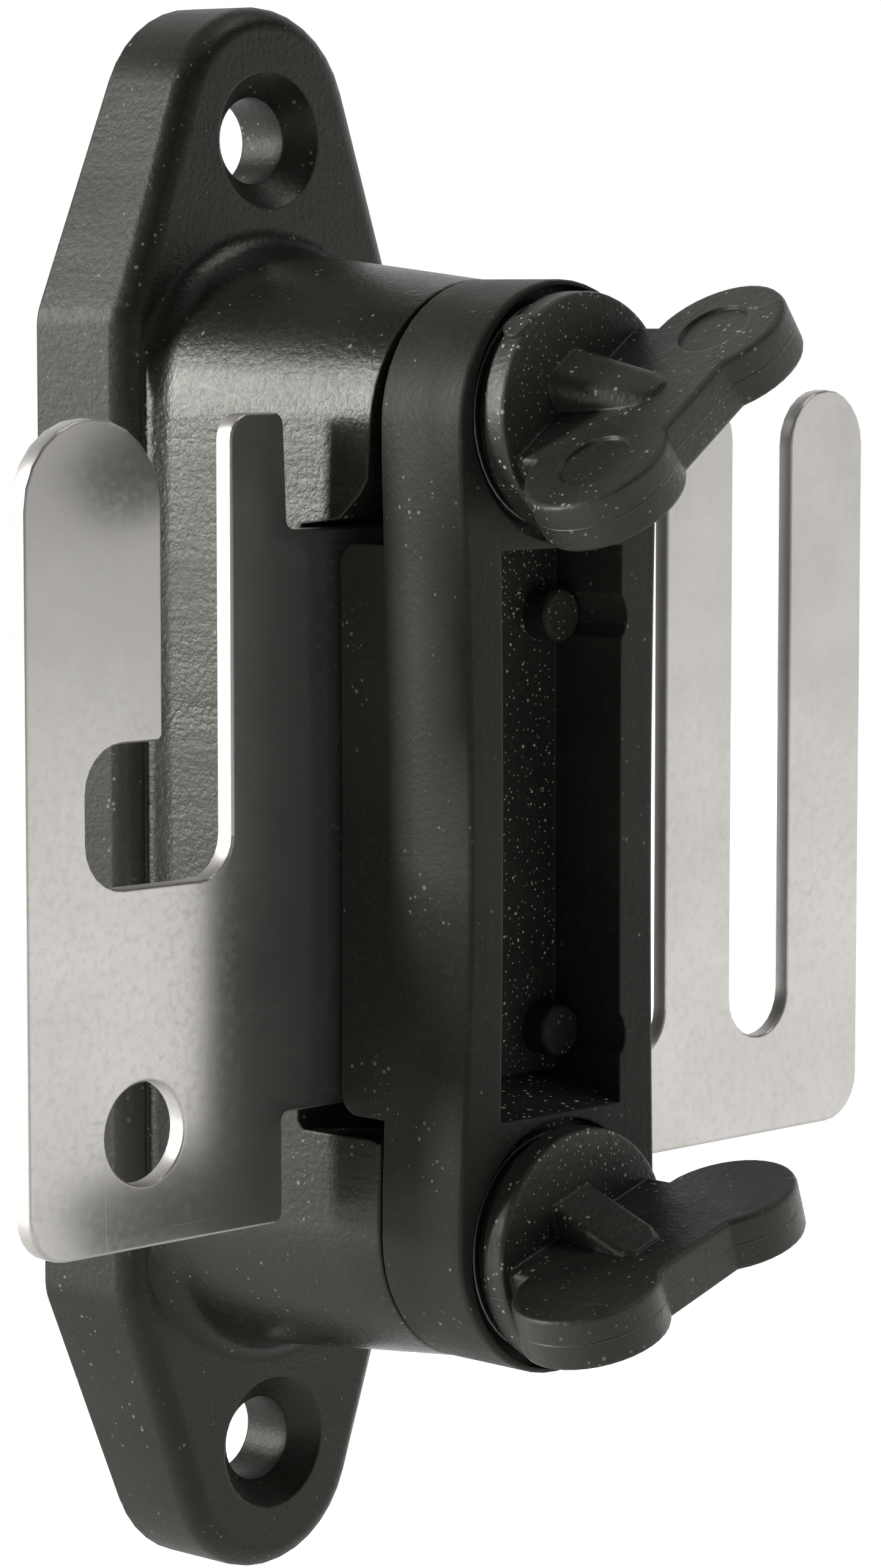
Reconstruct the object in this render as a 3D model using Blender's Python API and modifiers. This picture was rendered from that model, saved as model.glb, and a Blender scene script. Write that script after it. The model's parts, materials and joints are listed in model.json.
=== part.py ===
"""A corner insulator for electric-fence tape: a screwed-down base, and a front cover
that clamps a hook plate and a tape plate by two wing nuts.
The wall face is the plane y = 0, +Z is up, and the front faces -Y. Sizes below are in
millimetres, and a depth is the distance in front of the wall."""

import bmesh
import bpy
from math import acos, asin, atan2, cos, degrees, pi, radians, sin, tan
from mathutils import Matrix, Vector

MM = 0.001
PART_NAME = "fence_tape_insulator"

# Base
END_CENTRE, END_RADIUS = 55.5, 10.0
BASE_HALF_WIDTH, BASE_CORNER_Z, BASE_CORNER_RADIUS = 17.2, 40.25, 4.7
BASE_FACE, BASE_EDGE_RADIUS, SIDE_TAPER, END_TAPER = 9.3, 2.0, 1.6, 0.15
RIM_WIDTH, RECESS_DEPTH, WEB_HALF_HEIGHT = 2.5, 2.3, 5.0
SCREW_Z, SCREW_RADIUS, SCREW_RIM_RADIUS, SCREW_CONE_DEPTH = 54.5, 3.55, 5.6, 2.1
BOSS_CENTRE, BOSS_RADIUS, BOSS_DRAFT, BOSS_FRONT = 31.95, 11.15, 0.105, 33.4
BOSS_FOOT, BOSS_FOOT_RADIUS, BOSS_FOOT_HALF_WIDTH = 12.1, 15.6, 13.9
SADDLE_DEPTH = 25.0

# Cover
COVER_FRONT, COVER_BACK, COVER_EDGE = 42.4, 33.7, 0.4
SKIRT_BACK, SKIRT_HALF_HEIGHT, SKIRT_CORNER = 29.0, 22.6, 1.75
PAD_BACK, PAD_HALF_WIDTH, PAD_HALF_HEIGHT = 27.5, 9.5, 22.0
WINDOW_HALF_WIDTH, WINDOW_HALF_HEIGHT, WINDOW_FLOOR, WINDOW_RAMP = 7.0, 22.3, 35.2, 2.0
POST_X, POST_RADIUS, POST_HEIGHT, POST_ZS = 5.2, 2.15, 2.5, (16.6, -16.8)
SCALLOP_RADIUS = 2.5
POCKET_RADIUS, POCKET_FLOOR = 10.0, 40.6

# Plates
PLATE_FRONT, HOOK_THICKNESS, TAPE_THICKNESS, PLATE_EDGE = 27.15, 1.8, 1.5, 0.2
HOOK_HOLE_X, HOOK_HOLE_Z, HOOK_HOLE_RADIUS = -30.2, -22.0, 4.0
TAPE_BARS = ((14.2, 21.8), (29.3, 37.8), (45.3, 55.0))
TAPE_TOP, TAPE_BOTTOM, TAPE_SLOT_BOTTOM, TAPE_SLOT_CORNER = 33.6, -31.2, -22.5, 3.7

# Fasteners
NUT_Z = 32.7
STUD_RADIUS, STUD_CLEARANCE, STUD_TIP, STUD_CHAMFER = 2.5, 0.3, 46.0, 0.6
HEAD_ACROSS_FLATS, HEAD_BACK, HEAD_FRONT, HEAD_CLEARANCE = 8.0, 2.6, 6.1, 0.3
WASHER_BACK, WASHER_FRONT, WASHER_RADIUS = 40.9, 41.5, 8.9
COLLAR_RADIUS, COLLAR_BACK, COLLAR_FRONT, HUB_RADIUS, HUB_BACK = 9.5, 42.9, 45.2, 8.6, 41.8
LOBE_OFFSET, LOBE_DEPTH, LOBE_RADIUS, WAIST_DEPTH = 8.3, 53.1, 5.9, 57.2
WING_THICKNESS, WING_EDGE, WEB_HALF_WIDTH, WEB_BACK = 4.3, 0.45, 8.6, 44.0
# Each rib is its side, its corner radius, and sections (depth, middle, half width, height).
RIBS = (
    (1, 1.5, ((44.0, -0.1, 2.65, 5.5), (52.2, 0.4, 2.2, 2.9), (53.3, 0.5, 1.4, 2.45))),
    (-1, 0.5, ((44.0, 0.15, 2.35, 5.2), (52.2, 1.35, 2.25, 2.75), (53.6, 1.6, 1.5, 2.4))),
)
DISH_RADIUS, DISH_DEPTH = 2.95, 0.25
BORE_RADIUS, BORE_END, INSERT_OUTER, INSERT_FRONT, INSERT_ROOM = 2.7, 46.8, 3.5, 44.1, 0.3
WING_ANGLES = {"upper": 36.0, "lower": 198.0}

RIM_STEPS, SMALL_STEPS, CORNER_STEPS = 48, 32, 6

# Colour, roughness and metallic of each material
MATERIALS = {
    "black_plastic": ((0.022, 0.021, 0.019, 1.0), 0.45, 0.0),
    "wing_nut_plastic": ((0.027, 0.026, 0.024, 1.0), 0.5, 0.0),
    "stainless_sheet": ((0.62, 0.61, 0.59, 1.0), 0.28, 1.0),
    "zinc_steel": ((0.55, 0.55, 0.56, 1.0), 0.35, 1.0),
    "insert_brass": ((0.72, 0.52, 0.24, 1.0), 0.32, 1.0),
}


def clear_scene():
    for obj in list(bpy.data.objects):
        bpy.data.objects.remove(obj, do_unlink=True)


def new_collection(name):
    collection = bpy.data.collections.new(name)
    bpy.context.scene.collection.children.link(collection)
    return collection


def new_material(name):
    colour, roughness, metallic = MATERIALS[name]
    material = bpy.data.materials.new(name)
    material.use_nodes = True
    shader = material.node_tree.nodes["Principled BSDF"]
    shader.inputs["Base Color"].default_value = colour
    shader.inputs["Roughness"].default_value = roughness
    shader.inputs["Metallic"].default_value = metallic
    material.diffuse_color = colour
    return material


def add_object(name, mesh, collection):
    obj = bpy.data.objects.new(name, mesh)
    collection.objects.link(obj)
    return obj


# ---- outlines -----------------------------------------------------------------------

def arc(centre, radius, start, end, steps):
    """Points of an arc, from one angle in degrees to another."""
    return [
        (centre[0] + radius * cos(radians(start + (end - start) * i / steps)),
         centre[1] + radius * sin(radians(start + (end - start) * i / steps)))
        for i in range(steps + 1)
    ]


def rounded(corners, steps=CORNER_STEPS):
    """A closed outline whose corners (across, up, radius) are replaced by tangent arcs."""
    points = []
    for i, (x, z, radius) in enumerate(corners):
        corner = Vector((x, z))
        if not radius:
            points.append((x, z))
            continue
        back = (Vector(corners[i - 1][:2]) - corner).normalized()
        onward = (Vector(corners[(i + 1) % len(corners)][:2]) - corner).normalized()
        half_angle = back.angle(onward) / 2
        centre = corner + (back + onward).normalized() * radius / sin(half_angle)
        start = corner + back * radius / tan(half_angle) - centre
        turn = pi - 2 * half_angle
        side = 1 if back.x * onward.y - back.y * onward.x < 0 else -1
        for k in range(steps + 1):
            point = centre + Matrix.Rotation(side * turn * k / steps, 2) @ start
            points.append((point.x, point.y))
    return points


def stadium(centre_z, radius, steps=RIM_STEPS):
    """Two half circles and their straight sides."""
    return (arc((0, centre_z), radius, 0, 180, steps // 2)
            + arc((0, -centre_z), radius, 180, 360, steps // 2))


def base_outline(half_width, end_radius, corner_z):
    """The base's outline: straight sides, slanting sides, and an arc round each end."""
    corner = Vector((half_width, corner_z - END_CENTRE))
    turn = degrees(atan2(corner.y, corner.x) + acos(end_radius / corner.length))
    radius = BASE_CORNER_RADIUS
    end_top = arc((0, END_CENTRE), end_radius, turn, 180 - turn, 14)
    end_bottom = arc((0, -END_CENTRE), end_radius, 180 + turn, 360 - turn, 14)
    corners = [(half_width, -corner_z, radius), (half_width, corner_z, radius)]
    corners += [(x, z, 0) for x, z in end_top]
    corners += [(-half_width, corner_z, radius), (-half_width, -corner_z, radius)]
    corners += [(x, z, 0) for x, z in end_bottom]
    return rounded(corners)


def sorted_round(points, side):
    """The outline's points on one side, in order round from the right or the left."""
    return sorted(points, key=lambda point: atan2(side * point[1], side * point[0]))


# ---- solids -------------------------------------------------------------------------

def to_mesh(obj, name, collection):
    """The object's evaluated shape as a mesh object of its own, in the same place."""
    graph = bpy.context.evaluated_depsgraph_get()
    mesh = bpy.data.meshes.new_from_object(obj.evaluated_get(graph))
    result = add_object(name, mesh, collection)
    result.matrix_world = obj.matrix_world.copy()
    bpy.data.objects.remove(obj, do_unlink=True)
    return result


def tidy_mesh(mesh):
    """Joins the points of caps and sides, and makes each flat face one face."""
    work = bmesh.new()
    work.from_mesh(mesh)
    bmesh.ops.remove_doubles(work, verts=work.verts, dist=0.001 * MM)
    bmesh.ops.dissolve_limit(work, angle_limit=radians(0.05), verts=work.verts,
                             edges=work.edges)
    bmesh.ops.recalc_face_normals(work, faces=work.faces)
    work.to_mesh(mesh)
    work.free()


def prism(name, outlines, back, front, collection, across=False):
    """A solid of constant section. Outlines are (x, z), between two depths, or with
    across set they are (depth, z), between two values of x."""
    curve = bpy.data.curves.new(name, "CURVE")
    curve.dimensions = "2D"
    curve.fill_mode = "BOTH"
    curve.extrude = (front - back) / 2 * MM
    for outline in outlines:
        spline = curve.splines.new("POLY")
        spline.points.add(len(outline) - 1)
        for point, (u, v) in zip(spline.points, outline):
            point.co = (u * MM, v * MM, 0.0, 1.0)
        spline.use_cyclic_u = True
    obj = add_object(name + "_outline", curve, collection)
    middle = (front + back) / 2 * MM
    if across:
        # Outline across becomes depth, outline up stays up, and the extrusion runs along x.
        obj.matrix_world = Matrix(((0, 0, -1, middle), (-1, 0, 0, 0), (0, 1, 0, 0),
                                   (0, 0, 0, 1)))
    else:
        obj.matrix_world = Matrix(((1, 0, 0, 0), (0, 0, -1, -middle), (0, 1, 0, 0),
                                   (0, 0, 0, 1)))
    bpy.context.view_layer.update()
    solid = to_mesh(obj, name, collection)
    place_points(solid)
    tidy_mesh(solid.data)
    return solid


def place_points(obj):
    """Moves the mesh's points to world places, so the object itself sits at the origin."""
    obj.data.transform(obj.matrix_world)
    obj.matrix_world = Matrix.Identity(4)


def loft(name, sections, collection):
    """A solid through sections (depth, outline), each outline with as many points."""
    mesh = bpy.data.meshes.new(name)
    work = bmesh.new()
    rings = []
    for depth, outline in sections:
        points = [work.verts.new((x * MM, -depth * MM, z * MM)) for x, z in outline]
        rings.append([work.edges.new((points[i - 1], points[i])) for i in range(len(points))])
    for lower, upper in zip(rings, rings[1:]):
        bmesh.ops.bridge_loops(work, edges=lower + upper)
    bmesh.ops.holes_fill(work, edges=rings[0] + rings[-1], sides=0)
    bmesh.ops.recalc_face_normals(work, faces=work.faces)
    work.to_mesh(mesh)
    work.free()
    return add_object(name, mesh, collection)


def turned(name, profile, collection, x=0.0, z=0.0, steps=RIM_STEPS):
    """A body of revolution about the front-to-back line at (x, z). The profile is
    (radius, depth), from the front to the back."""
    mesh = bpy.data.meshes.new(name + "_profile")
    points = [(radius * MM, 0.0, depth * MM) for radius, depth in profile]
    closed = profile[0][0] > 0
    edges = [(i, i + 1) for i in range(len(points) - 1)]
    if closed:
        edges.append((len(points) - 1, 0))
    mesh.from_pydata(points, edges, [])
    obj = add_object(name + "_profile", mesh, collection)
    screw = obj.modifiers.new("Turn", "SCREW")
    screw.axis = "Z"
    screw.steps = screw.render_steps = steps
    screw.use_merge_vertices = True
    screw.merge_threshold = 0.00001
    obj.matrix_world = (Matrix.Translation((x * MM, 0, z * MM))
                        @ Matrix.Rotation(pi / 2, 4, "X"))
    bpy.context.view_layer.update()
    solid = to_mesh(obj, name, collection)
    place_points(solid)
    tidy_mesh(solid.data)
    return solid


def combine(obj, tool, operation):
    """Joins the tool to the object, or cuts it away, by a Boolean modifier."""
    modifier = obj.modifiers.new(tool.name, "BOOLEAN")
    modifier.operation = operation
    modifier.solver = "EXACT"
    modifier.object = tool
    for collection in list(tool.users_collection):
        collection.objects.unlink(tool)
    bpy.data.collections["cutters"].objects.link(tool)
    tool.hide_render = True
    tool.display_type = "WIRE"
    tool.parent = obj


def soften(obj, radius, at_depths, segments=3):
    """Rounds the outline edges that lie at the given depths."""
    weights = obj.data.attributes.new("bevel_weight_edge", "FLOAT", "EDGE")
    for edge in obj.data.edges:
        ends = [obj.data.vertices[i].co for i in edge.vertices]
        for depth in at_depths:
            if all(abs(end.y + depth * MM) < 0.01 * MM for end in ends):
                weights.data[edge.index].value = 1.0
    bevel = obj.modifiers.new("Rounded edge", "BEVEL")
    bevel.limit_method = "WEIGHT"
    bevel.width = radius * MM
    bevel.segments = segments
    bevel.use_clamp_overlap = False


def finish(obj, material, collection):
    """Gives the finished sub-part its material, its shading and its collection."""
    obj.data.materials.clear()
    obj.data.materials.append(material)
    for old in list(obj.users_collection):
        old.objects.unlink(obj)
    collection.objects.link(obj)
    obj.data.shade_smooth()
    obj.data.set_sharp_from_angle(angle=radians(32))


# ---- sub-parts ----------------------------------------------------------------------

def make_base(cutters):
    base = loft("base_insulator", [
        (0, base_outline(BASE_HALF_WIDTH, END_RADIUS, BASE_CORNER_Z)),
        (BASE_FACE, base_outline(BASE_HALF_WIDTH - SIDE_TAPER, END_RADIUS - END_TAPER,
                                 BASE_CORNER_Z)),
    ], cutters)
    soften(base, BASE_EDGE_RADIUS, [BASE_FACE], segments=5)
    foot = BOSS_FOOT - BASE_FACE
    foot_radius = BOSS_RADIUS + (BOSS_FRONT - BOSS_FOOT) * BOSS_DRAFT
    sections = [(BASE_FACE - 1.0, BOSS_FOOT_RADIUS)]
    for i in range(6):
        turn = radians(90 * i / 5)
        sections.append((BOSS_FOOT - foot * cos(turn),
                         foot_radius + (BOSS_FOOT_RADIUS - foot_radius) * (1 - sin(turn))))
    front_radius = BOSS_RADIUS + 0.03
    sections += [(BOSS_FRONT - 0.35, front_radius), (BOSS_FRONT - 0.1, front_radius - 0.1),
                 (BOSS_FRONT, front_radius - 0.35)]
    # The foot's fillet spreads only towards the screw holes, since the sides leave no room.
    wide = BOSS_FOOT_HALF_WIDTH
    boss = loft("boss", [
        (depth, [(max(-wide, min(wide, x)), z) for x, z in stadium(BOSS_CENTRE, radius)])
        for depth, radius in sections
    ], cutters)
    combine(base, boss, "UNION")
    # The back is recessed inside a rim, apart from a web across the middle.
    rim = base_outline(BASE_HALF_WIDTH - RIM_WIDTH, END_RADIUS - RIM_WIDTH,
                       BASE_CORNER_Z - RIM_WIDTH / 2)
    for end, side in (("upper", 1), ("lower", -1)):
        wide = side * (BASE_HALF_WIDTH - RIM_WIDTH)
        outline = [(-wide, side * WEB_HALF_HEIGHT), (wide, side * WEB_HALF_HEIGHT)]
        outline += sorted_round([point for point in rim if side * point[1] > 0], side)
        recess = prism(end + "_recess", [outline], -1.0, RECESS_DEPTH, cutters)
        combine(base, recess, "DIFFERENCE")
    saddle = prism("saddle", [[
        (40.0, -25.2), (BOSS_FRONT - 0.3, -24.5), (BOSS_FRONT - 0.9, -24.3),
        (SADDLE_DEPTH + 0.6, -24.2), (SADDLE_DEPTH, -23.6), (SADDLE_DEPTH, 23.3),
        (SADDLE_DEPTH + 0.6, 24.0), (29.4, 24.5), (31.4, 26.4), (32.2, 27.6), (33.2, 42.0),
        (34.0, 46.0), (40.0, 46.0),
    ]], -20.0, 20.0, cutters, across=True)
    combine(base, saddle, "DIFFERENCE")
    for end, side in (("upper", 1), ("lower", -1)):
        rise = SCREW_RIM_RADIUS - SCREW_RADIUS
        hole = turned(end + "_screw_hole", [
            (0, BASE_FACE + SCREW_CONE_DEPTH), (SCREW_RIM_RADIUS + rise, BASE_FACE
                                                + SCREW_CONE_DEPTH),
            (SCREW_RADIUS, BASE_FACE - SCREW_CONE_DEPTH), (SCREW_RADIUS, -1.0), (0, -1.0),
        ], cutters, z=side * SCREW_Z, steps=40)
        combine(base, hole, "DIFFERENCE")
        bore = turned(end + "_stud_bore", [
            (0, 36.0), (STUD_RADIUS + STUD_CLEARANCE, 36.0),
            (STUD_RADIUS + STUD_CLEARANCE, 1.0), (0, 1.0),
        ], cutters, z=side * NUT_Z, steps=24)
        combine(base, bore, "DIFFERENCE")
        radius = (HEAD_ACROSS_FLATS / 2 + HEAD_CLEARANCE) / cos(pi / 6)
        pocket = prism(end + "_head_pocket",
                       [arc((0, side * NUT_Z), radius, 0, 300, 5)], 1.0,
                       HEAD_FRONT + HEAD_CLEARANCE, cutters)
        combine(base, pocket, "DIFFERENCE")
    return base


def make_cover(cutters):
    cover = loft("clamp_cover", [
        (COVER_BACK, stadium(BOSS_CENTRE, BOSS_RADIUS)),
        (COVER_FRONT - COVER_EDGE, stadium(BOSS_CENTRE, BOSS_RADIUS)),
        (COVER_FRONT - COVER_EDGE * 0.3, stadium(BOSS_CENTRE, BOSS_RADIUS - COVER_EDGE * 0.3)),
        (COVER_FRONT, stadium(BOSS_CENTRE, BOSS_RADIUS - COVER_EDGE)),
    ], cutters)
    high = SKIRT_HALF_HEIGHT
    skirt = prism("skirt", [rounded([
        (COVER_BACK + 2, -high, 0), (COVER_BACK + 2, high, 0),
        (SKIRT_BACK, high, SKIRT_CORNER), (SKIRT_BACK, -high, SKIRT_CORNER),
    ])], -BOSS_RADIUS, BOSS_RADIUS, cutters, across=True)
    combine(cover, skirt, "UNION")
    wide, high = PAD_HALF_WIDTH, PAD_HALF_HEIGHT
    pad = prism("clamp_pad", [rounded([
        (wide, -high, 1), (wide, high, 1), (-wide, high, 1), (-wide, -high, 1)])],
        PAD_BACK, SKIRT_BACK + 1, cutters)
    combine(cover, pad, "UNION")
    high = WINDOW_HALF_HEIGHT
    slope = WINDOW_RAMP / (COVER_FRONT - WINDOW_FLOOR)
    window = prism("front_recess", [[
        (WINDOW_FLOOR, -high + WINDOW_RAMP), (WINDOW_FLOOR, high), (COVER_FRONT + 2, high),
        (COVER_FRONT + 2, -high - 2 * slope),
    ]], -WINDOW_HALF_WIDTH, WINDOW_HALF_WIDTH, cutters, across=True)
    combine(cover, window, "DIFFERENCE")
    for i, post_z in enumerate(POST_ZS):
        scallop = turned(f"scallop_{i}", [
            (0, COVER_FRONT + 2), (SCALLOP_RADIUS, COVER_FRONT + 2),
            (SCALLOP_RADIUS, WINDOW_FLOOR), (0, WINDOW_FLOOR),
        ], cutters, x=POST_X, z=post_z, steps=SMALL_STEPS)
        combine(cover, scallop, "DIFFERENCE")
        top = WINDOW_FLOOR + POST_HEIGHT
        post = turned(f"post_{i}", [
            (0, top), (POST_RADIUS - 0.3, top), (POST_RADIUS, top - 0.3),
            (POST_RADIUS, WINDOW_FLOOR - 1), (0, WINDOW_FLOOR - 1),
        ], cutters, x=POST_X, z=post_z, steps=SMALL_STEPS)
        combine(cover, post, "UNION")
    for end, side in (("upper", 1), ("lower", -1)):
        pocket = turned(end + "_nut_pocket", [
            (0, COVER_FRONT + 2), (POCKET_RADIUS, COVER_FRONT + 2),
            (POCKET_RADIUS, POCKET_FLOOR), (STUD_RADIUS + STUD_CLEARANCE, POCKET_FLOOR),
            (STUD_RADIUS + STUD_CLEARANCE, COVER_BACK - 2), (0, COVER_BACK - 2),
        ], cutters, z=side * NUT_Z, steps=56)
        combine(cover, pocket, "DIFFERENCE")
    return cover


def make_hook_plate(cutters):
    outline = rounded([
        (-41.8, -30.9, 3.6), (-15.7, -30.9, 0.8), (-15.7, -22.2, 0.6), (-0.5, -22.2, 0.5),
        (-0.5, 23.7, 0.5), (-14.9, 23.7, 0.8), (-15.3, 32.8, 1.0), (-21.0, 32.8, 2.0),
        (-21.0, -3.0, 3.3), (-35.9, -3.0, 3.7), (-35.9, 8.1, 3.7), (-28.1, 8.1, 0.6),
        (-28.1, 32.7, 6.75), (-41.8, 32.7, 6.75),
    ])
    hole = arc((HOOK_HOLE_X, HOOK_HOLE_Z), HOOK_HOLE_RADIUS, 0, 352.5, SMALL_STEPS + 15)
    plate = prism("hook_plate", [outline, hole], PLATE_FRONT - HOOK_THICKNESS, PLATE_FRONT,
                  cutters)
    soften(plate, PLATE_EDGE, [PLATE_FRONT - HOOK_THICKNESS, PLATE_FRONT], segments=1)
    return plate


def make_tape_plate(cutters):
    top, low = TAPE_TOP, TAPE_SLOT_BOTTOM
    corners = [(0.5, -22.2, 0.5), (14.2, -22.2, 0.6), (14.2, TAPE_BOTTOM, 0.8),
               (55.0, TAPE_BOTTOM, 4.0)]
    for i, (left, right) in reversed(list(enumerate(TAPE_BARS))):
        round_top = (right - left) / 2 - 0.1
        corners += [(right, top, round_top), (left, top, round_top)]
        if i:
            corners += [(left, low, TAPE_SLOT_CORNER),
                        (TAPE_BARS[i - 1][1], low, TAPE_SLOT_CORNER)]
    corners += [(14.2, 23.7, 0.8), (0.5, 23.7, 0.5)]
    plate = prism("tape_plate", [rounded(corners)], PLATE_FRONT - TAPE_THICKNESS,
                  PLATE_FRONT, cutters)
    soften(plate, PLATE_EDGE, [PLATE_FRONT - TAPE_THICKNESS, PLATE_FRONT], segments=1)
    return plate


def make_stud(name, z, cutters):
    stud = turned(name, [
        (0, STUD_TIP), (STUD_RADIUS - STUD_CHAMFER, STUD_TIP),
        (STUD_RADIUS, STUD_TIP - STUD_CHAMFER), (STUD_RADIUS, HEAD_FRONT - 1),
        (0, HEAD_FRONT - 1),
    ], cutters, steps=SMALL_STEPS)
    head = prism(name + "_head", [arc((0, 0), HEAD_ACROSS_FLATS / 2 / cos(pi / 6), 0, 300, 5)],
                 HEAD_BACK, HEAD_FRONT, cutters)
    combine(stud, head, "UNION")
    stud.location = (0.0, 0.0, z * MM)
    return stud


def make_ring(name, z, inner, outer, back, front, cutters):
    ring = turned(name, [(inner, front), (outer, front), (outer, back), (inner, back)],
                  cutters, steps=40)
    ring.location = (0.0, 0.0, z * MM)
    return ring


def make_wing_nut(name, z, angle, cutters):
    nut = turned(name, [
        (0, COLLAR_FRONT), (COLLAR_RADIUS - 0.4, COLLAR_FRONT),
        (COLLAR_RADIUS - 0.1, COLLAR_FRONT - 0.1), (COLLAR_RADIUS, COLLAR_FRONT - 0.4),
        (COLLAR_RADIUS, COLLAR_BACK + 0.2), (COLLAR_RADIUS - 0.2, COLLAR_BACK),
        (HUB_RADIUS, COLLAR_BACK), (HUB_RADIUS, HUB_BACK), (0, HUB_BACK),
    ], cutters, steps=56)
    top = degrees(asin((WAIST_DEPTH - LOBE_DEPTH) / LOBE_RADIUS))
    foot = degrees(acos((WEB_HALF_WIDTH - LOBE_OFFSET) / LOBE_RADIUS))
    # The wing's outline is (along the wing, depth): web, right lobe, waist, left lobe.
    outline = [(-WEB_HALF_WIDTH, WEB_BACK), (WEB_HALF_WIDTH, WEB_BACK)]
    outline += arc((LOBE_OFFSET, LOBE_DEPTH), LOBE_RADIUS, -foot, 180 - top, 24)
    outline += arc((-LOBE_OFFSET, LOBE_DEPTH), LOBE_RADIUS, top, 180 + foot, 24)
    half = WING_THICKNESS / 2
    wing = prism(name + "_wing", [outline], -half, half, cutters)
    wing.data.transform(Matrix(((1, 0, 0, 0), (0, 0, -1, 0), (0, -1, 0, 0), (0, 0, 0, 1))))
    wing.data.flip_normals()
    tidy_mesh(wing.data)
    weights = wing.data.attributes.new("bevel_weight_edge", "FLOAT", "EDGE")
    for edge in wing.data.edges:
        ends = [wing.data.vertices[i].co for i in edge.vertices]
        if abs(ends[0].z - ends[1].z) < 0.01 * MM:
            weights.data[edge.index].value = 1.0
    bevel = wing.modifiers.new("Rounded edge", "BEVEL")
    bevel.limit_method = "WEIGHT"
    bevel.width = WING_EDGE * MM
    bevel.segments = 2
    combine(nut, wing, "UNION")
    # A rib on each face covers the bore and slopes down to the wing.
    for i, (side, corner, sections) in enumerate(RIBS):
        rib = loft(f"{name}_rib_{i}", [
            (depth, rounded([
                (middle - wide, 0, 0), (middle + wide, 0, 0),
                (middle + wide, side * height, min(corner, 0.8 * wide)),
                (middle - wide, side * height, min(corner, 0.8 * wide)),
            ]))
            for depth, middle, wide, height in sections
        ], cutters)
        combine(nut, rib, "UNION")
    for side in (1, -1):
        dish = turned(f"{name}_dish_{side + 1}", [
            (0, half + 1), (DISH_RADIUS, half + 1), (DISH_RADIUS, half - DISH_DEPTH),
            (0, half - DISH_DEPTH)], cutters, steps=SMALL_STEPS)
        dish.data.transform(Matrix(((1, 0, 0, side * LOBE_OFFSET * MM),
                                    (0, 0, -1, -LOBE_DEPTH * MM), (0, -1, 0, 0),
                                    (0, 0, 0, 1))))
        dish.data.flip_normals()
        tidy_mesh(dish.data)
        combine(nut, dish, "DIFFERENCE")
    room = INSERT_OUTER + INSERT_ROOM
    bore = turned(name + "_bore", [
        (0, BORE_END), (BORE_RADIUS - 0.6, BORE_END), (BORE_RADIUS, BORE_END - 0.6),
        (BORE_RADIUS, INSERT_FRONT + INSERT_ROOM), (room, INSERT_FRONT + INSERT_ROOM),
        (room, HUB_BACK - 1), (0, HUB_BACK - 1),
    ], cutters, steps=SMALL_STEPS)
    combine(nut, bore, "DIFFERENCE")
    nut.location = (0.0, 0.0, z * MM)
    nut.rotation_euler = (0.0, -radians(angle), 0.0)
    return nut


def main():
    clear_scene()
    parts = new_collection(PART_NAME)
    cutters = new_collection("cutters")
    materials = {name: new_material(name) for name in MATERIALS}
    finish(make_base(cutters), materials["black_plastic"], parts)
    finish(make_cover(cutters), materials["black_plastic"], parts)
    finish(make_hook_plate(cutters), materials["stainless_sheet"], parts)
    finish(make_tape_plate(cutters), materials["stainless_sheet"], parts)
    for end, side in (("upper", 1), ("lower", -1)):
        z = side * NUT_Z
        finish(make_stud(end + "_stud", z, cutters), materials["zinc_steel"], parts)
        washer = make_ring(end + "_washer", z, STUD_RADIUS + STUD_CLEARANCE, WASHER_RADIUS,
                           WASHER_BACK, WASHER_FRONT, cutters)
        finish(washer, materials["zinc_steel"], parts)
        insert = make_ring(end + "_thread_insert", z, STUD_RADIUS + STUD_CLEARANCE,
                           INSERT_OUTER, HUB_BACK, INSERT_FRONT, cutters)
        finish(insert, materials["insert_brass"], parts)
        nut = make_wing_nut(end + "_wing_nut", z, WING_ANGLES[end], cutters)
        finish(nut, materials["wing_nut_plastic"], parts)


main()
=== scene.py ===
"""Looks of an electric-fence tape insulator: a black moulded base and cover, two
stainless plates, and two wing nuts, in a plain pale studio."""

import json
from math import copysign, cos, pi, radians, sin

import bmesh
import bpy
from mathutils import Euler, Matrix, Vector


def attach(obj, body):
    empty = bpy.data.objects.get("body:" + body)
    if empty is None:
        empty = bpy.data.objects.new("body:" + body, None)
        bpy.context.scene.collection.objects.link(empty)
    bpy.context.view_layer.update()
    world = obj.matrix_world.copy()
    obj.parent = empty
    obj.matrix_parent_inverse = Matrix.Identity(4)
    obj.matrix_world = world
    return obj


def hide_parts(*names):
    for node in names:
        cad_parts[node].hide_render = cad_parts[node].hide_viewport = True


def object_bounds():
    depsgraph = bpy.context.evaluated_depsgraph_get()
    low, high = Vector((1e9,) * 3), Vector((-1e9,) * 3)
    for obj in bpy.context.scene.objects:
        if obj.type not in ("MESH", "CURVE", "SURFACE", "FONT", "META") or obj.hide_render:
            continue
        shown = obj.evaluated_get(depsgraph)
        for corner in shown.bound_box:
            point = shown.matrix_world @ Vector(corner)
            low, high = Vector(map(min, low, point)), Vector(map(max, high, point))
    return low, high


bl_info = {
    "name": "Fence Tape Insulator",
    "version": (1, 0, 0),
    "blender": (4, 5, 0),
    "location": "3D View > Sidebar > Insulator",
    "description": "Finishes a fence tape insulator: plastics, plates, nuts and studio",
    "category": "Object",
}

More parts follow.
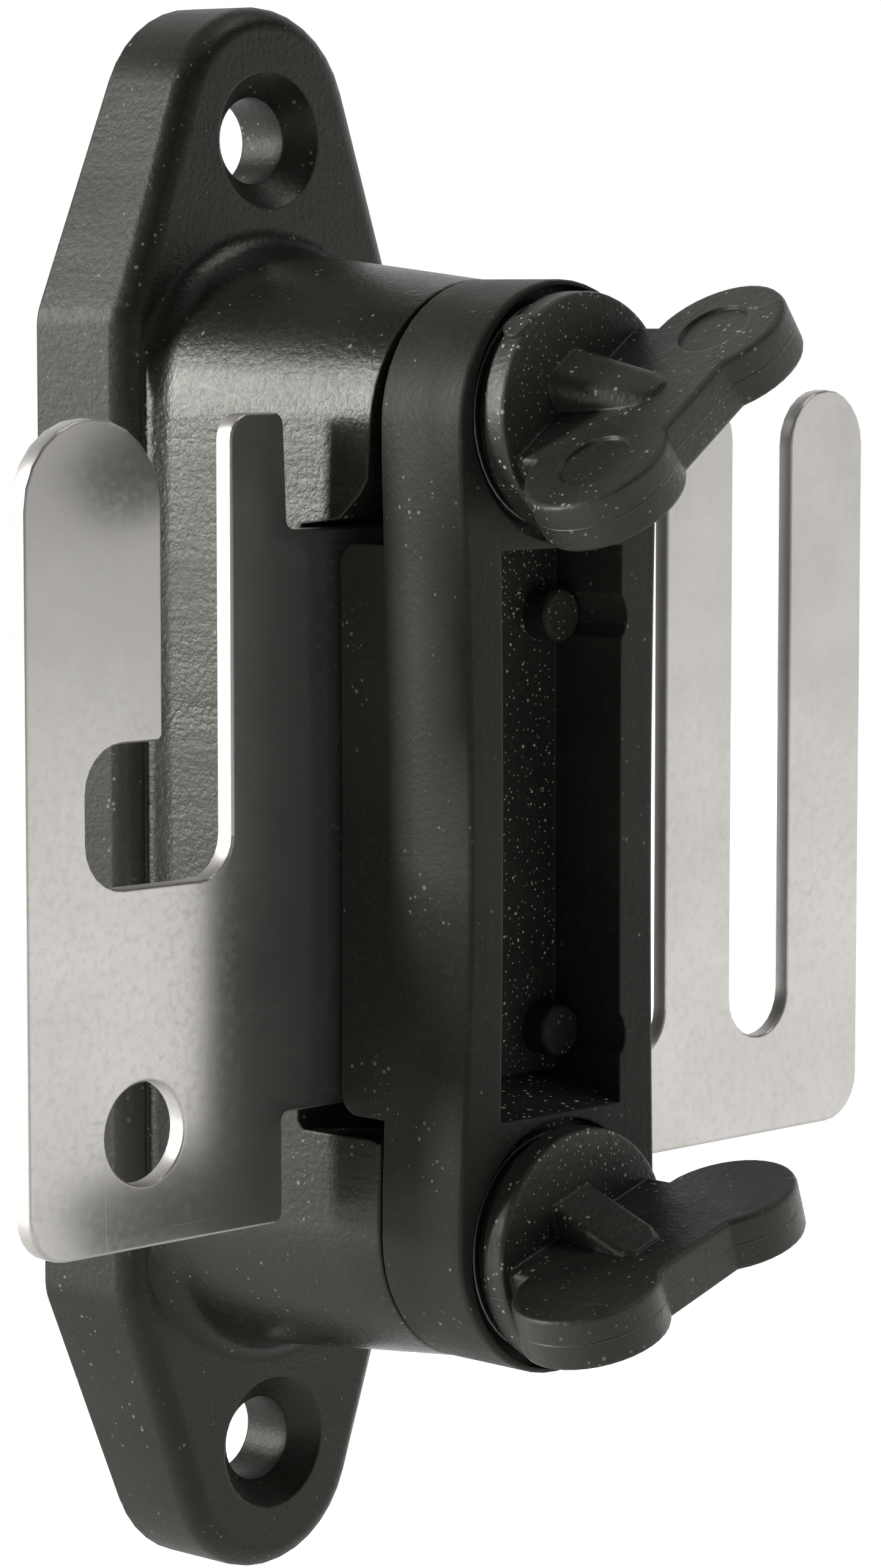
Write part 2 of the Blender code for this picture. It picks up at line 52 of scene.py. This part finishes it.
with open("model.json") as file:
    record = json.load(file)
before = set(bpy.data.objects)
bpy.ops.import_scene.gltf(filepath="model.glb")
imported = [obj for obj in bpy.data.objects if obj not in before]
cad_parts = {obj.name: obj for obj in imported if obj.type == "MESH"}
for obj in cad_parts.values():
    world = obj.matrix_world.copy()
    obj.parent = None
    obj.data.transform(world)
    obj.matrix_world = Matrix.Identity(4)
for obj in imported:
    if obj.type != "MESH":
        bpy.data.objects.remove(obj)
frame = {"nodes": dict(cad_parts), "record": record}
CAD_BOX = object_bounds()
MM = 0.001

# Both wing nuts: end, height of the axis in millimetres, turn of the wings in degrees,
# and the seed of its finish
NUTS = (("upper", 32.7, 36.0, 101), ("lower", -32.7, 198.0, 131))
GATE_PLACE, GATE_DEPTH, GATE_TURN = 9.35, 44.05, 99
GATE_RADIUS, GATE_TIP_RADIUS, GATE_LENGTH = 1.25, 1.15, 0.9

# The recess in the cover, and the front of the base's flange, in metres
RECESS_HALF_WIDTH, RECESS_HALF_HEIGHT, RECESS_FRONT = 0.00715, 0.0245, 0.0421
FLANGE_FRONT, BOSS_START = 0.0085, 0.0095
COLLAR_FRONT, WINGS_START = 0.0456, 0.05

FRONT, RIGHT, UP = (0.0, -1.0, 0.0), (1.0, 0.0, 0.0), (0.0, 0.0, 1.0)
RUBBED_PLASTIC = (0.075, 0.073, 0.067, 1.0)
DUST = (0.7, 0.68, 0.62, 1.0)
# Paler steel at the plates' edges: partly wear, partly a painted highlight where the edges
# catch the light from the left
EDGE_WEAR_AND_HIGHLIGHT = (0.86, 0.85, 0.83, 1.0)
PIT_STAIN = (0.2, 0.19, 0.17, 1.0)

# How far the cover's long sides are drawn in, and half the height of the drawn-in stretch,
# in millimetres
DRAWN_LEFT, DRAWN_RIGHT, DRAWN_HALF_HEIGHT = 1.1, 0.4, 29.0

# The camera: its place in metres, and the angles in degrees that it looks down and round
# from the front
CAMERA_PLACE, CAMERA_DOWN, CAMERA_ROUND = (-0.2679, -0.2934, 0.0419), 5.972, 45.365
CAMERA_SHIFT, SENSOR_HEIGHT = (0.00119, 0.00234), 24.0

# The studio: how far the floor lies below the object, and its radius, in metres; the way
# that the camera looks, level with the floor; the white on the right; the dim part
FLOOR_DROP, FLOOR_RADIUS = 0.12, 2.2
AWAY, STUDIO_RIGHT, FLOOR_RIGHT = (0.709, 0.7, 0.0), (0.9, -0.43, 0.0), (0.68, -0.73, 0.0)
DIM = 0.14


def opaque(colour, share=1.0):
    """A colour with its alpha, made darker or paler by a share."""
    return tuple(share * channel for channel in colour) + (1.0,)


# ---- shader arithmetic --------------------------------------------------------------

class Value:
    """A number that changes over a surface, used in ordinary arithmetic."""

    def __init__(self, surface, socket):
        self.surface = surface
        self.socket = socket

    def maths(self, operation, *others):
        return self.surface.node("ShaderNodeMath", {"operation": operation},
                                 {i: item for i, item in enumerate((self, *others))})

    def reflected(self, operation, other):
        return self.surface.node("ShaderNodeMath", {"operation": operation},
                                 {0: other, 1: self})

    def __add__(self, other):
        return self.maths("ADD", other)

    def __sub__(self, other):
        return self.maths("SUBTRACT", other)

    def __mul__(self, other):
        return self.maths("MULTIPLY", other)

    def __truediv__(self, other):
        return self.maths("DIVIDE", other)

    def __rsub__(self, other):
        return self.reflected("SUBTRACT", other)

    def __rtruediv__(self, other):
        return self.reflected("DIVIDE", other)

    __radd__ = __add__
    __rmul__ = __mul__

    def output(self, number):
        """Another output of the node that gives this one."""
        return Value(self.surface, self.socket.node.outputs[number])

    def above(self, edge):
        """1 where the value is above the edge, and 0 elsewhere."""
        return self.maths("GREATER_THAN", edge)

    def below(self, edge):
        """1 where the value is below the edge, and 0 elsewhere."""
        return self.maths("LESS_THAN", edge)

    def away_from(self, middle):
        """How far the value is from the middle, either way."""
        return (self - middle).maths("ABSOLUTE")

    def ramp(self, low, high, to_low=0.0, to_high=1.0):
        """The value from low to high, spread smoothly over to_low to to_high."""
        return self.surface.node(
            "ShaderNodeMapRange", {"interpolation_type": "SMOOTHSTEP"},
            {"Value": self, "From Min": low, "From Max": high, "To Min": to_low,
             "To Max": to_high})

    def clamped(self):
        """The value, kept between 0 and 1."""
        return self.surface.node("ShaderNodeMath", {"operation": "ADD", "use_clamp": True},
                                 {0: self, 1: 0.0})


class Nodes:
    """One node tree, built call by call."""

    def __init__(self, holder, coordinates):
        holder.use_nodes = True
        self.tree = holder.node_tree
        self.tree.nodes.clear()
        self.place = self.node("ShaderNodeTexCoord", output=coordinates)

    def node(self, kind, settings=None, inputs=None, output=0):
        """Adds a node: its settings first, then its sockets' values or links."""
        made = self.tree.nodes.new(kind)
        for name, setting in (settings or {}).items():
            setattr(made, name, setting)
        for name, item in (inputs or {}).items():
            self.feed(made.inputs[name], item)
        return Value(self, made.outputs[output])

    def feed(self, socket, item):
        if isinstance(item, Value):
            self.tree.links.new(item.socket, socket)
        else:
            socket.default_value = item

    def end(self, kind, shader):
        """Adds the output node, with the shader as its surface."""
        self.feed(self.tree.nodes.new(kind).inputs["Surface"], shader)

    def dot(self, first, second):
        return self.node("ShaderNodeVectorMath", {"operation": "DOT_PRODUCT"},
                         {0: first, 1: second}, output="Value")

    def along(self, direction):
        """How far each point is along a direction, in metres."""
        return self.dot(self.place, direction)

    def facing(self, direction):
        """How much the surface faces a direction, from -1 to 1."""
        return self.dot(self.node("ShaderNodeNewGeometry", output="Normal"), direction)

    def stretched(self, scale, seed=0.0):
        """The place, with each axis multiplied, for patterns in waves per metre."""
        return self.node("ShaderNodeMapping", {}, {
            "Vector": self.place, "Scale": scale, "Location": (seed, 0.4 * seed, 0.7 * seed)})

    def noise(self, scale, stretch=(1, 1, 1), detail=2.0, roughness=0.5, seed=0.0):
        return self.node("ShaderNodeTexNoise", {}, {
            "Vector": self.stretched(stretch, 0.01 * seed), "Scale": scale,
            "Detail": detail, "Roughness": roughness})

    def mix(self, factor, first, second):
        """Mixes two colours."""
        return self.node("ShaderNodeMix", {"data_type": "RGBA"},
                         {0: factor, 6: first, 7: second}, output=2)

    def specks(self, spacing, size, share, seed):
        """Round specks: one in some cells of the given spacing, in metres."""
        distance = self.node("ShaderNodeTexVoronoi", {}, {
            "Vector": self.stretched((1, 1, 1), 0.01 * seed), "Scale": 1.0 / spacing},
            output="Distance")
        pick = self.node("ShaderNodeSeparateColor", {}, {0: distance.output("Color")})
        grade = pick.output(1)
        radius = (grade * grade * 0.85 + 0.15) * (size / spacing)
        return (radius - distance).ramp(0.0, 0.25 * size / spacing) * pick.below(share)

    def edges(self, radius):
        """Normals rounded at the edges, and how near an edge each point is."""
        rounded = self.node("ShaderNodeBevel", {"samples": 4}, {"Radius": radius})
        return rounded, (1.0 - self.facing(rounded)).ramp(0.02, 0.25)

    def bump(self, height, strength, distance, normal):
        return self.node("ShaderNodeBump", {}, {
            "Strength": strength, "Distance": distance, "Height": height,
            "Normal": normal})


class Surface(Nodes):
    """One material, whose shader takes what set gives it."""

    def __init__(self, name):
        self.material = bpy.data.materials.new(name)
        super().__init__(self.material, "Object")
        shader = self.node("ShaderNodeBsdfPrincipled")
        self.shader = shader.socket.node
        self.end("ShaderNodeOutputMaterial", shader)

    def set(self, **sockets):
        """Feeds the shader's own sockets, whose names have _ for each space."""
        for name, item in sockets.items():
            self.feed(self.shader.inputs[name.replace("_", " ")], item)


# ---- finishes -----------------------------------------------------------------------

def moulded_plastic(name, look, flow, seed, dusty=None, seam=None, scuffed=None):
    """Black satin plastic with fine grain, moulding flow marks, dust and rubbed edges.
    The function dusty says where the dust lies thick, seam where a parting line runs, and
    scuffed where handling has dulled the surface."""
    surface = Surface(name)
    rounded, edge = surface.edges(look.edge_radius)
    grain = surface.noise(look.grain_scale, detail=3.0, roughness=0.6, seed=seed)
    flow_marks = surface.noise(240.0, stretch=flow, detail=4.0, roughness=0.62, seed=seed + 3)
    cloud = surface.noise(55.0, detail=3.0, seed=seed + 7)
    patchy = surface.noise(150.0, detail=3.0, seed=seed + 11).ramp(0.4, 0.68)
    thick = dusty(surface) if dusty else 0.0
    fine = surface.specks(0.0005, 0.00021, 0.15 + patchy * 0.35 + thick * 0.5, seed + 17)
    coarse = surface.specks(0.001, 0.0002, 0.1 + thick * 0.7, seed + 23)
    specks = ((fine * (patchy * 0.3 + thick * 0.7) + coarse * (0.3 + thick * 0.7))
              * look.dust).clamped()
    colour = surface.mix(cloud.ramp(0.3, 0.75), opaque(look.colour, 0.85),
                         opaque(look.colour, 1.7))
    colour = surface.mix(grain.ramp(0.5, 0.75) * 0.35, colour, opaque(look.colour, 2.6))
    colour = surface.mix(edge * look.rubbed, colour, RUBBED_PLASTIC)
    height = grain * 1.3 + flow_marks * 2.4 + specks * 0.6
    if seam:
        line = seam(surface)
        colour = surface.mix(line * 0.6, colour, RUBBED_PLASTIC)
        height = height + line * 3.0
    colour = surface.mix(specks, colour, DUST)
    roughness = (look.roughness + (cloud - 0.5) * 0.2
                 + (flow_marks - 0.5) * 0.2 + (grain - 0.5) * 0.2
                 + specks * 0.25 - edge * 0.06)
    if scuffed:
        roughness = roughness + scuffed(surface) * 0.16
    surface.set(Base_Color=colour, Roughness=roughness.clamped(),
                Specular_IOR_Level=look.sheen, Specular_Tint=(1.0, 0.985, 0.9, 1.0),
                Normal=surface.bump(height, look.relief, 0.00006, rounded))
    return surface.material


def on_flange(surface):
    """1 on the base's flange, and 0 on its boss."""
    return surface.along(FRONT).ramp(FLANGE_FRONT, BOSS_START, 1.0, 0.0)


def in_recess(surface):
    """1 inside the cover's front recess, where dust gathers, except on its right wall."""
    return (surface.along(RIGHT).away_from(0.0).below(RECESS_HALF_WIDTH)
            * surface.along(UP).away_from(0.0).below(RECESS_HALF_HEIGHT)
            * surface.along(FRONT).below(RECESS_FRONT) * surface.facing(RIGHT).above(-0.5))


def on_collar(surface):
    """1 on the wing nut's collar, fading to little along its wings."""
    return surface.along(FRONT).ramp(COLLAR_FRONT, WINGS_START, 0.8, 0.12)


def parting_line(across, height):
    """A seam where the halves of a wing nut's mould met: a line at right angles to the
    direction across, through the nut's axis at a height in metres."""
    def seam(surface):
        return (surface.along(across) - across.z * height).away_from(0.0).ramp(
            0.00003, 0.0001, 1.0, 0.0)
    return seam


def sheet_steel(name, look, seed):
    """Cold-rolled stainless: satin, with a soft grain, clouds, scuffs and hairlines."""
    surface = Surface(name)
    rounded, edge = surface.edges(look.edge_radius)
    rolled = surface.noise(900.0, stretch=(1.0, 1.0, 0.12), detail=4.0, seed=seed)
    cloud = surface.noise(60.0, detail=4.0, roughness=0.6, seed=seed + 3)
    dull = surface.noise(1300.0, detail=4.0, roughness=0.6, seed=seed + 5).ramp(0.42, 0.75)
    line = surface.noise(24.0, stretch=(1.0, 1.0, 5.5), detail=1.0, seed=seed + 9)
    hairline = (line.away_from(0.5).ramp(0.0, 0.0011, 1.0, 0.0)
                * surface.noise(70.0, seed=seed + 13).ramp(0.56, 0.66))
    cross = surface.noise(19.0, stretch=(4.0, 1.0, 1.0), detail=1.0, seed=seed + 19)
    hairline = (hairline + cross.away_from(0.47).ramp(0.0, 0.0009, 1.0, 0.0)
                * surface.noise(55.0, seed=seed + 29).ramp(0.6, 0.68)).clamped()
    pits = surface.specks(0.0042, 0.00012, 0.3, seed + 31)
    cut = surface.facing(FRONT).away_from(0.0).below(0.5)
    colour = surface.mix(cloud.ramp(0.3, 0.7), opaque(look.colour, 0.86),
                         opaque(look.colour))
    colour = surface.mix(dull * 0.14, colour, opaque(look.colour, 0.6))
    # Edges made paler: partly wear, partly a painted highlight where the stamped edges catch
    # the side light
    colour = surface.mix(edge * 0.5, colour, EDGE_WEAR_AND_HIGHLIGHT)
    colour = surface.mix(pits * 0.6, colour, PIT_STAIN)
    roughness = (look.roughness + (cloud - 0.5) * 0.08 + dull * 0.05 + hairline * 0.12
                 + pits * 0.2 + cut * 0.26)
    height = rolled * 0.4 + dull * 0.15 - hairline * 0.4 - pits * 0.8 + cut * rolled * 3.0
    surface.set(Base_Color=colour, Metallic=0.85, Roughness=roughness.clamped(),
                Normal=surface.bump(height, look.relief, 0.00001, rounded))
    return surface.material


def turned_metal(name, colour, roughness, seed):
    """Turned or plated metal: rings from the tool, small stains, and worn edges."""
    surface = Surface(name)
    rounded, edge = surface.edges(0.0002)
    rings = surface.noise(1500.0, stretch=(0.25, 1.0, 0.25), detail=3.0, seed=seed)
    stain = surface.noise(240.0, detail=3.0, seed=seed + 5)
    base = surface.mix(stain.ramp(0.35, 0.75), opaque(colour), opaque(colour, 0.72))
    base = surface.mix(edge * 0.5, base, opaque(colour, 1.25))
    surface.set(Base_Color=base, Metallic=1.0,
                Roughness=(roughness + (stain - 0.5) * 0.2 + rings * 0.08).clamped(),
                Normal=surface.bump(rings, 0.35, 0.00002, rounded))
    return surface.material


# ---- pieces -------------------------------------------------------------------------

def give(obj, material):
    obj.data.materials.clear()
    obj.data.materials.append(material)


def link(name, data):
    obj = bpy.data.objects.new(name, data)
    bpy.context.scene.collection.objects.link(obj)
    return obj


def finished_from(node, name, material, edge=0.0, sharp=32.0):
    """A finished piece made on a frame node's solid: welded, its small edges rounded,
    and its curves smooth. It stands for the node and rides with the node's body."""
    mesh = frame["nodes"][node].data.copy()
    mesh.name = name
    work = bmesh.new()
    work.from_mesh(mesh)
    bmesh.ops.remove_doubles(work, verts=work.verts, dist=0.002 * MM)
    bmesh.ops.dissolve_limit(work, angle_limit=radians(0.3), verts=work.verts,
                             edges=work.edges)
    work.to_mesh(mesh)
    work.free()
    piece = link(name, mesh)
    mesh.shade_smooth()
    mesh.set_sharp_from_angle(angle=radians(sharp))
    if edge:
        bevel = piece.modifiers.new("Small edges", "BEVEL")
        bevel.width = edge * MM
        bevel.segments = 2
        bevel.limit_method = "ANGLE"
        bevel.angle_limit = radians(35)
        bevel.harden_normals = False
    weighted = piece.modifiers.new("Even shading", "WEIGHTED_NORMAL")
    weighted.keep_sharp = True
    weighted.weight = 80
    give(piece, material)
    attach(piece, body_of(node))
    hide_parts(node)
    return piece


def draw_in_sides(mesh):
    """Draws the cover's long sides in at mid-height, where the moulding shrank as it cooled."""
    work = bmesh.new()
    work.from_mesh(mesh)
    for step in range(-14, 15):
        bmesh.ops.bisect_plane(work, geom=work.verts[:] + work.edges[:] + work.faces[:],
                               plane_co=(0.0, 0.0, 2 * step * MM), plane_no=(0, 0, 1),
                               dist=0.0001 * MM)
    for vertex in work.verts:
        x, y, z = vertex.co / MM
        middle = max(0.0, 1.0 - (z / DRAWN_HALF_HEIGHT) ** 2)
        outer = min(1.0, max(0.0, (abs(x) - 4.5) / 6.5))
        front = min(1.0, max(0.3, (-y - 26.0) / 15.0))
        most = DRAWN_LEFT if x < 0 else DRAWN_RIGHT
        vertex.co.x -= copysign(most * middle * outer * front * MM, x)
    work.to_mesh(mesh)
    work.free()


def body_of(node):
    """The name of the body that holds a frame node."""
    for body, nodes in frame["record"]["behaviour"]["bodies"].items():
        if node in nodes:
            return body
    raise RuntimeError(f"no body holds {node}")


def looks(context):
    """The scene's settings of the insulator."""
    return context.scene.insulator_looks


# ---- settings -----------------------------------------------------------------------

class PlasticLook(bpy.types.PropertyGroup):
    """The moulded plastic of the base"""

    colour: bpy.props.FloatVectorProperty(
        name="Colour", description="Colour of the bare plastic", subtype="COLOR", size=3,
        min=0.0, max=1.0, default=(0.0125, 0.0123, 0.0098))
    roughness: bpy.props.FloatProperty(
        name="Roughness", description="How dull the moulded surface is", subtype="FACTOR",
        min=0.0, max=1.0, default=0.31)
    grain_scale: bpy.props.FloatProperty(
        name="Grain", description="Waves of the fine grain in a metre", default=2100.0)
    relief: bpy.props.FloatProperty(
        name="Relief", description="Strength of the grain and flow marks", subtype="FACTOR",
        min=0.0, max=1.0, default=0.6)
    dust: bpy.props.FloatProperty(
        name="Dust", description="How much the fine dust shows", subtype="FACTOR",
        min=0.0, max=1.0, default=0.85)
    sheen: bpy.props.FloatProperty(
        name="Sheen", description="Strength of the reflections", subtype="FACTOR",
        min=0.0, max=1.0, default=0.42)
    rubbed: bpy.props.FloatProperty(
        name="Rubbed edges", description="How pale the rubbed edges are", subtype="FACTOR",
        min=0.0, max=1.0, default=0.55)
    edge_radius: bpy.props.FloatProperty(
        name="Edge", description="Radius of the smallest edges", unit="LENGTH",
        default=0.0003)


class CoverLook(PlasticLook):
    """The dull plastic of the cover"""

    colour: bpy.props.FloatVectorProperty(
        name="Colour", description="Colour of the bare plastic", subtype="COLOR", size=3,
        min=0.0, max=1.0, default=(0.0245, 0.0236, 0.0202))
    roughness: bpy.props.FloatProperty(
        name="Roughness", description="How dull the moulded surface is", subtype="FACTOR",
        min=0.0, max=1.0, default=0.48)
    sheen: bpy.props.FloatProperty(
        name="Sheen", description="Strength of the reflections", subtype="FACTOR",
        min=0.0, max=1.0, default=0.17)


class NutLook(PlasticLook):
    """The duller plastic of the wing nuts"""

    colour: bpy.props.FloatVectorProperty(
        name="Colour", description="Colour of the bare plastic", subtype="COLOR", size=3,
        min=0.0, max=1.0, default=(0.019, 0.0187, 0.0158))
    roughness: bpy.props.FloatProperty(
        name="Roughness", description="How dull the moulded surface is", subtype="FACTOR",
        min=0.0, max=1.0, default=0.42)
    sheen: bpy.props.FloatProperty(
        name="Sheen", description="Strength of the reflections", subtype="FACTOR",
        min=0.0, max=1.0, default=0.6)


class SteelLook(bpy.types.PropertyGroup):
    """The sheet steel of the hook plate and the tape plate"""

    colour: bpy.props.FloatVectorProperty(
        name="Colour", description="Colour of the bare sheet", subtype="COLOR", size=3,
        min=0.0, max=1.0, default=(0.64, 0.62, 0.59))
    roughness: bpy.props.FloatProperty(
        name="Roughness", description="How dull the sheet is", subtype="FACTOR",
        min=0.0, max=1.0, default=0.19)
    relief: bpy.props.FloatProperty(
        name="Relief", description="Strength of the rolled grain", subtype="FACTOR",
        min=0.0, max=1.0, default=0.3)
    edge_radius: bpy.props.FloatProperty(
        name="Edge", description="Radius of the stamped edges", unit="LENGTH",
        default=0.0002)


class StudioLook(bpy.types.PropertyGroup):
    """The plain studio"""

    floor_height: bpy.props.FloatProperty(
        name="Floor height", description="Height of the pale floor", unit="LENGTH",
        default=CAD_BOX[0][2] - FLOOR_DROP)
    side_light: bpy.props.FloatProperty(
        name="Side light", description="Power of the soft light on the left, in watts",
        default=12.5)
    backdrop: bpy.props.FloatProperty(
        name="Backdrop", description="Brightness of the white behind", default=1.12)
    lens: bpy.props.FloatProperty(
        name="Lens", description="Focal length in millimetres", default=72.13)


class InsulatorLooks(bpy.types.PropertyGroup):
    """All the settings of the insulator"""

    plastic: bpy.props.PointerProperty(type=PlasticLook, name="Plastic")
    cover: bpy.props.PointerProperty(type=CoverLook, name="Cover")
    nuts: bpy.props.PointerProperty(type=NutLook, name="Wing nuts")
    steel: bpy.props.PointerProperty(type=SteelLook, name="Steel")
    studio: bpy.props.PointerProperty(type=StudioLook, name="Studio")


# ---- operators ----------------------------------------------------------------------

class INSULATOR_OT_base(bpy.types.Operator):
    """Finish the base moulding"""

    bl_idname = "insulator.base"
    bl_label = "Base Insulator"
    bl_options = {"REGISTER", "UNDO"}

    def execute(self, context):
        plastic = moulded_plastic("base_plastic", looks(context).plastic, (0.4, 0.12, 1.0), 1,
                                  scuffed=on_flange)
        finished_from("base_insulator", "base_moulding", plastic, edge=0.12)
        return {"FINISHED"}


class INSULATOR_OT_cover(bpy.types.Operator):
    """Finish the clamp cover"""

    bl_idname = "insulator.cover"
    bl_label = "Clamp Cover"
    bl_options = {"REGISTER", "UNDO"}

    def execute(self, context):
        plastic = moulded_plastic("cover_plastic", looks(context).cover, (1.0, 1.0, 0.1), 41,
                                  dusty=in_recess)
        piece = finished_from("clamp_cover", "cover_moulding", plastic,
                              edge=0.1)
        draw_in_sides(piece.data)
        return {"FINISHED"}


class INSULATOR_OT_plates(bpy.types.Operator):
    """Finish the hook plate and the tape plate"""

    bl_idname = "insulator.plates"
    bl_label = "Steel Plates"
    bl_options = {"REGISTER", "UNDO"}

    def execute(self, context):
        for seed, node in ((61, "hook_plate"), (83, "tape_plate")):
            steel = sheet_steel(node + "_steel", looks(context).steel, seed)
            finished_from(node, node + "_sheet", steel, sharp=50.0)
        return {"FINISHED"}


class INSULATOR_OT_wing_nuts(bpy.types.Operator):
    """Finish both wing nuts"""

    bl_idname = "insulator.wing_nuts"
    bl_label = "Wing Nuts"
    bl_options = {"REGISTER", "UNDO"}

    def execute(self, context):
        for end, height, angle, seed in NUTS:
            turn = radians(angle)
            across = Vector((-sin(turn), 0.0, cos(turn)))
            plastic = moulded_plastic(end + "_nut_plastic", looks(context).nuts,
                                      (1.0, 1.0, 1.0), seed, dusty=on_collar,
                                      seam=parting_line(across, height * MM))
            finished_from(end + "_wing_nut", end + "_nut_moulding", plastic,
                          edge=0.12)
            self.gate_mark(end, plastic, height, radians(angle + GATE_TURN))
        return {"FINISHED"}

    def gate_mark(self, end, plastic, height, turn):
        """The stub that the sprue leaves on the collar's rim."""
        mesh = bpy.data.meshes.new(end + "_gate_mark")
        work = bmesh.new()
        bmesh.ops.create_cone(work, cap_ends=True, segments=40, radius1=GATE_RADIUS * MM,
                              radius2=GATE_TIP_RADIUS * MM, depth=GATE_LENGTH * MM)
        bmesh.ops.transform(work, verts=work.verts, matrix=Matrix.Translation((
            GATE_PLACE * MM * cos(turn), -GATE_DEPTH * MM,
            height * MM + GATE_PLACE * MM * sin(turn)))
            @ Matrix.Rotation(pi / 2 - turn, 4, "Y"))
        work.to_mesh(mesh)
        work.free()
        mesh.shade_smooth()
        mesh.set_sharp_from_angle(angle=radians(35))
        mark = link(end + "_gate_mark", mesh)
        give(mark, plastic)
        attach(mark, end + "_nut")


class INSULATOR_OT_fasteners(bpy.types.Operator):
    """Finish the studs, the washers and the thread inserts"""

    bl_idname = "insulator.fasteners"
    bl_label = "Fasteners"
    bl_options = {"REGISTER", "UNDO"}

    def execute(self, context):
        zinc = turned_metal("zinc_plate", (0.6, 0.6, 0.6), 0.3, 151)
        brass = turned_metal("turned_brass", (0.72, 0.52, 0.24), 0.28, 167)
        for end in ("upper", "lower"):
            for kind, material, slot in (("stud", zinc, "zinc_steel"),
                                         ("washer", zinc, "zinc_steel"),
                                         ("thread_insert", brass, "insert_brass")):
                node = f"{end}_{kind}"
                finished_from(node, node + "_metal", material)
        return {"FINISHED"}


class INSULATOR_OT_stage(bpy.types.Operator):
    """Set out the pale floor, the soft light and the camera"""

    bl_idname = "insulator.stage"
    bl_label = "Studio"
    bl_options = {"REGISTER", "UNDO"}

    def execute(self, context):
        studio = looks(context).studio
        mesh = bpy.data.meshes.new("pale_floor")
        work = bmesh.new()
        bmesh.ops.create_circle(work, cap_ends=True, segments=64, radius=FLOOR_RADIUS)
        work.to_mesh(mesh)
        work.free()
        floor = link("pale_floor", mesh)
        floor.location.z = studio.floor_height
        surface = Surface("pale_floor")
        tint = surface.noise(3.0, detail=2.0).ramp(0.3, 0.7)
        lit = surface.along(AWAY).ramp(0.1, 0.42).maths(
            "MAXIMUM", surface.along(FLOOR_RIGHT).ramp(0.35, 0.9, 0.0, 0.8))
        surface.set(Base_Color=surface.mix(tint, opaque((0.8, 0.8, 0.8)),
                                           opaque((0.84, 0.84, 0.83))),
                    Roughness=0.9, Emission_Strength=studio.backdrop,
                    Emission_Color=surface.mix(lit, opaque((DIM, DIM, DIM)),
                                               opaque((1, 1, 0.995))))
        give(floor, surface.material)
        self.surroundings(context.scene, studio)
        self.lights(studio)
        self.camera(context.scene, studio)
        return {"FINISHED"}

    def surroundings(self, scene, studio):
        """White behind the object and on its right, dim on its left, darkest overhead."""
        scene.world = bpy.data.worlds.new("studio")
        sky = Nodes(scene.world, "Generated")
        behind, right, height = (sky.along(way) for way in (AWAY, STUDIO_RIGHT, UP))
        white = behind.ramp(0.4, 0.8) * height.ramp(0.7, 1.0, 1.0, 0.0)
        pale = (right.ramp(0.84, 0.99, 0.25, 0.95)
                * height.ramp(0.15, 0.5, 1.0, 0.0) * right.above(0.0))
        dim = height.ramp(-0.05, 0.6, DIM, 0.05) + height.ramp(0.8, 0.96, 0.0, 0.4)
        strength = white.maths("MAXIMUM", pale) * studio.backdrop + dim
        sky.end("ShaderNodeOutputWorld",
                sky.node("ShaderNodeBackground", {}, {"Strength": strength}))

    def lights(self, studio):
        """A tall softbox behind on the left and a weak fill overhead, aimed at the middle."""
        for name, place, size, power in (
                ("side_softbox", (-0.825, 0.595, 0.30), (0.17, 0.70), studio.side_light),
                ("top_fill", (0.25, -0.3, 0.8), (0.4, 0.4), 1.2)):
            light = bpy.data.lights.new(name, "AREA")
            light.shape = "RECTANGLE"
            light.size, light.size_y = size
            light.energy = power
            lamp = link(name, light)
            lamp.location = place
            lamp.rotation_euler = (-lamp.location).to_track_quat("-Z", "Y").to_euler()

    def camera(self, scene, studio):
        """A long lens that looks from the front left, a little above the middle."""
        camera = bpy.data.cameras.new("camera")
        camera.sensor_fit = "VERTICAL"
        camera.sensor_height = SENSOR_HEIGHT
        camera.lens = studio.lens
        camera.shift_x, camera.shift_y = CAMERA_SHIFT
        camera.clip_start = 0.01
        stand = link("camera", camera)
        stand.location = CAMERA_PLACE
        stand.rotation_euler = Euler((radians(90 - CAMERA_DOWN), 0.0, radians(-CAMERA_ROUND)))
        scene.camera = stand
        scene.view_settings.view_transform = "Standard"


class INSULATOR_PT_panel(bpy.types.Panel):
    """Steps and settings of the insulator"""

    bl_idname = "INSULATOR_PT_panel"
    bl_label = "Fence Tape Insulator"
    bl_space_type = "VIEW_3D"
    bl_region_type = "UI"
    bl_category = "Insulator"

    def draw(self, context):
        for step in STEPS:
            self.layout.operator(step.bl_idname)
        for name in ("plastic", "cover", "nuts", "steel", "studio"):
            group = getattr(looks(context), name)
            box = self.layout.box()
            for prop in group.bl_rna.properties:
                if not prop.is_readonly and prop.identifier != "name":
                    box.prop(group, prop.identifier)


STEPS = (INSULATOR_OT_stage, INSULATOR_OT_base, INSULATOR_OT_cover, INSULATOR_OT_plates,
         INSULATOR_OT_wing_nuts, INSULATOR_OT_fasteners)
GROUPS = (PlasticLook, CoverLook, NutLook, SteelLook, StudioLook, InsulatorLooks)


def register():
    for item in (*GROUPS, *STEPS, INSULATOR_PT_panel):
        bpy.utils.register_class(item)
    bpy.types.Scene.insulator_looks = bpy.props.PointerProperty(type=InsulatorLooks)


def unregister():
    del bpy.types.Scene.insulator_looks
    for item in reversed((*GROUPS, *STEPS, INSULATOR_PT_panel)):
        bpy.utils.unregister_class(item)


def main():
    register()
    for step in STEPS:
        area, name = step.bl_idname.split(".")
        getattr(getattr(bpy.ops, area), name)()


if __name__ == "__main__":
    main()
